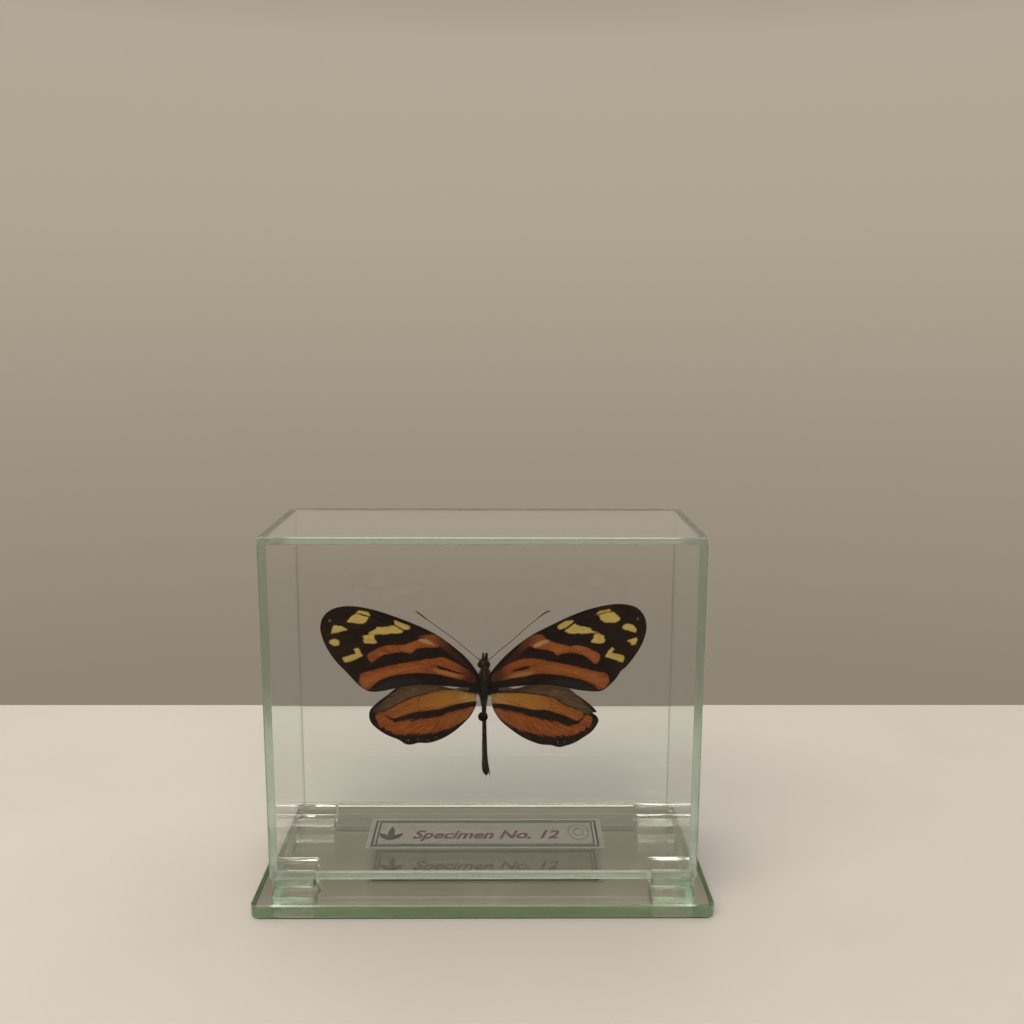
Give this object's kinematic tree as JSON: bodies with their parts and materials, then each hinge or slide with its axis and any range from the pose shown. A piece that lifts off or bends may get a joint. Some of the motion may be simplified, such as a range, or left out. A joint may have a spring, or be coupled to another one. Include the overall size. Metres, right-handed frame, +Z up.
{
  "type": "mounted butterfly in glass display case",
  "caption": "Spread butterfly on a ball-headed pin, sealed in a closed glass case that stands on clear feet on a mirror base.",
  "frame": {"origin": "middle of the mirror base's underside, on the surface it stands on", "axes": "+Z up, +X along the case's long side to the right as seen from the front, -Y out of the front pane, towards which the wings' upper sides face"},
  "size_m": [0.121, 0.061, 0.0995],
  "materials": {
    "mirror_glass": "silvered float glass with polished green edges",
    "case_glass": "clear float glass, ground edges, pale green in depth",
    "clear_foot": "clear acrylic pads with wavy glue",
    "label_film": "printed translucent film",
    "insect_body": "dry blackish hair and scales",
    "wing_scales": "dry scales, rust orange with black bars and yellow spots",
    "antenna": "dry reddish brown stalks with slim dark clubs",
    "insect_leg": "dry dark brown",
    "pin_head": "black ball",
    "pin_steel": "bright drawn steel",
    "clear_glue": "cured clear glue"
  },
  "bodies": {
    "root": {"mirror_base": "mirror_glass", "foot_front_left": "clear_foot", "foot_front_right": "clear_foot", "foot_back_left": "clear_foot", "foot_back_right": "clear_foot", "pane_bottom": "case_glass", "pane_top": "case_glass", "pane_front": "case_glass", "pane_back": "case_glass", "pane_left": "case_glass", "pane_right": "case_glass", "label": "label_film", "body": "insect_body", "forewing_left": "wing_scales", "forewing_right": "wing_scales", "hindwing_left": "wing_scales", "hindwing_right": "wing_scales", "antenna_left": "antenna", "antenna_right": "antenna", "leg_middle_left": "insect_leg", "leg_middle_right": "insect_leg", "leg_hind_left": "insect_leg", "leg_hind_right": "insect_leg", "pin_head": "pin_head", "pin_shaft": "pin_steel", "glue_dab": "clear_glue"}
  },
  "joints": []
}
